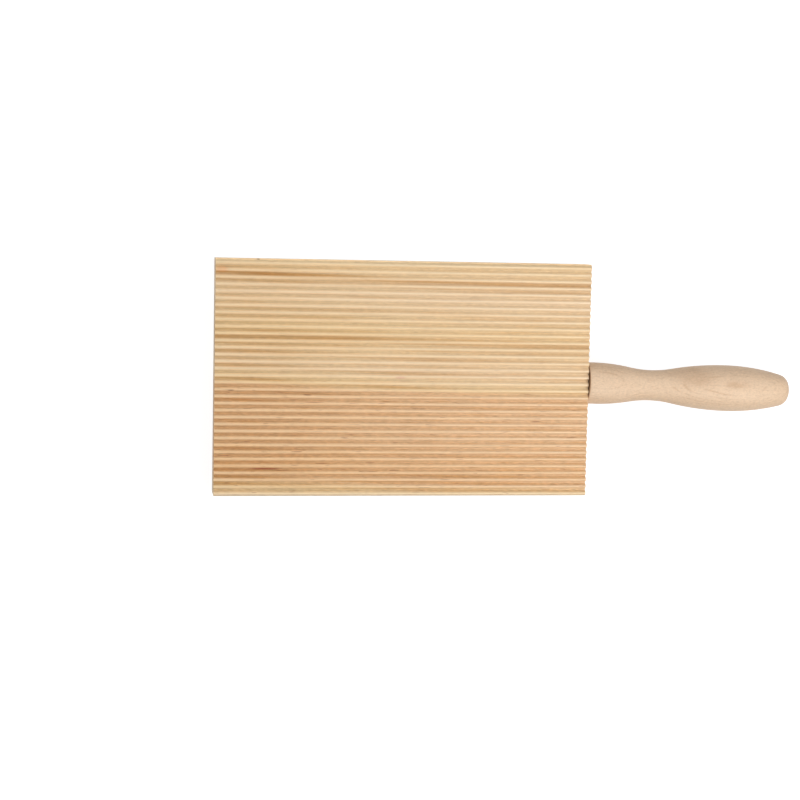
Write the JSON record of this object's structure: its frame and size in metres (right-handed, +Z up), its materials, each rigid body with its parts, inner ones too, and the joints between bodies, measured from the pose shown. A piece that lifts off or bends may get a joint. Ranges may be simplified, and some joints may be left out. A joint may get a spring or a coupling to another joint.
{
  "type": "gnocchi board",
  "caption": "Ridged wooden board with a turned handle, for rolling gnocchi and other small dough shapes so that they take its grooves.",
  "frame": {"origin": "centre of the board's flat underside", "axes": "+X along the ridges towards the handle, +Y across the ridges, +Z up through the ridged face"},
  "size_m": [0.215, 0.085, 0.0172],
  "materials": {
    "softwood_board": "bare planed and ribbed softwood, unoiled, matte",
    "turned_hardwood": "bare turned and sanded close-grained hardwood, unoiled, smooth matte",
    "dowel_hardwood": "bare milled hardwood rod, glued in"
  },
  "bodies": {
    "root": {"ridged_board": "softwood_board", "handle": "turned_hardwood", "dowel": "dowel_hardwood"}
  },
  "joints": []
}
